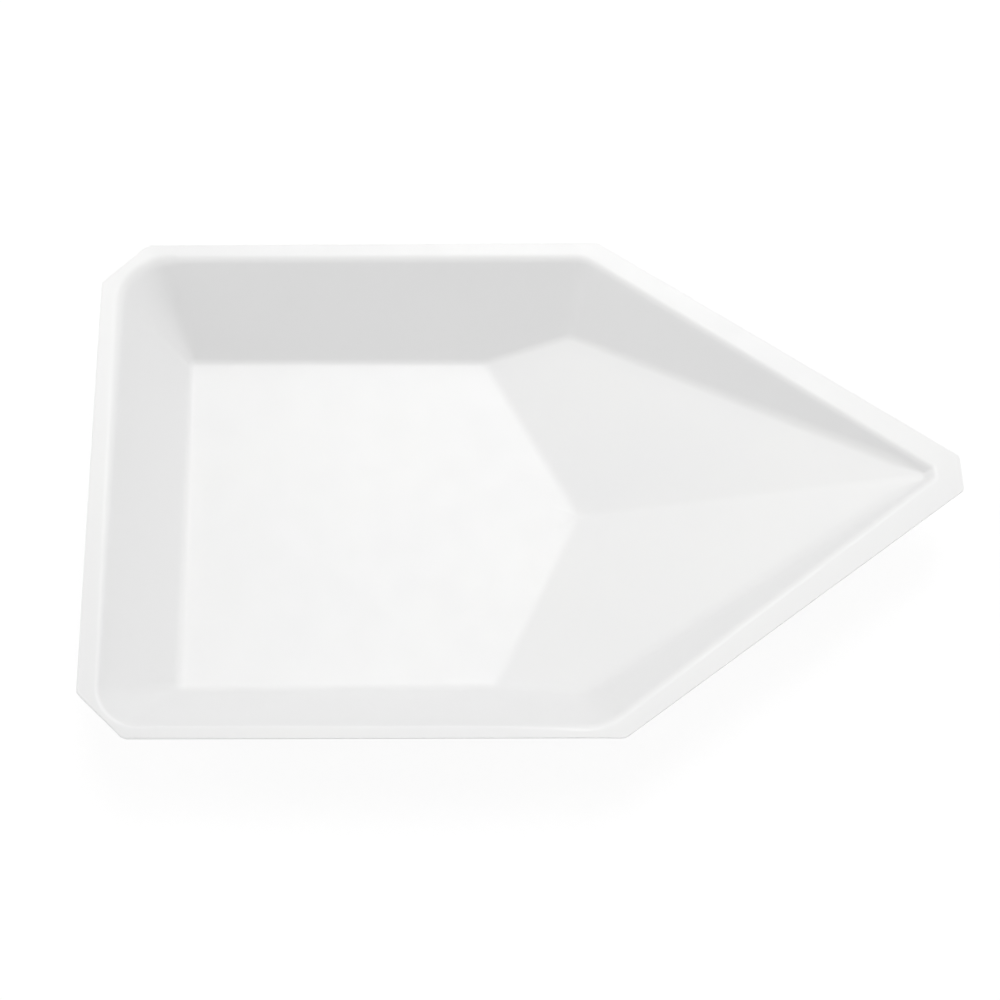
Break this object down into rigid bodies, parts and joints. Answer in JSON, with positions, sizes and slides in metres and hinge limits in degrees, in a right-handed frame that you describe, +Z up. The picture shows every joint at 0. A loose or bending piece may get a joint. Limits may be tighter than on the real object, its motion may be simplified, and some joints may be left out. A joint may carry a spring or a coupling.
{
  "type": "weighing boat",
  "caption": "Shallow white weighing dish with a flat floor, sloping walls, a narrow lip and a pointed pouring spout.",
  "frame": {"origin": "on the table, below the middle of the boat's outline", "axes": "+X towards the nose of the spout, +Y across the boat, +Z up"},
  "size_m": [0.14, 0.088, 0.016],
  "materials": {
    "polystyrene_sheet": "white polystyrene sheet, vacuum formed, with a smooth satin face"
  },
  "bodies": {
    "root": {"boat": "polystyrene_sheet"}
  },
  "joints": []
}
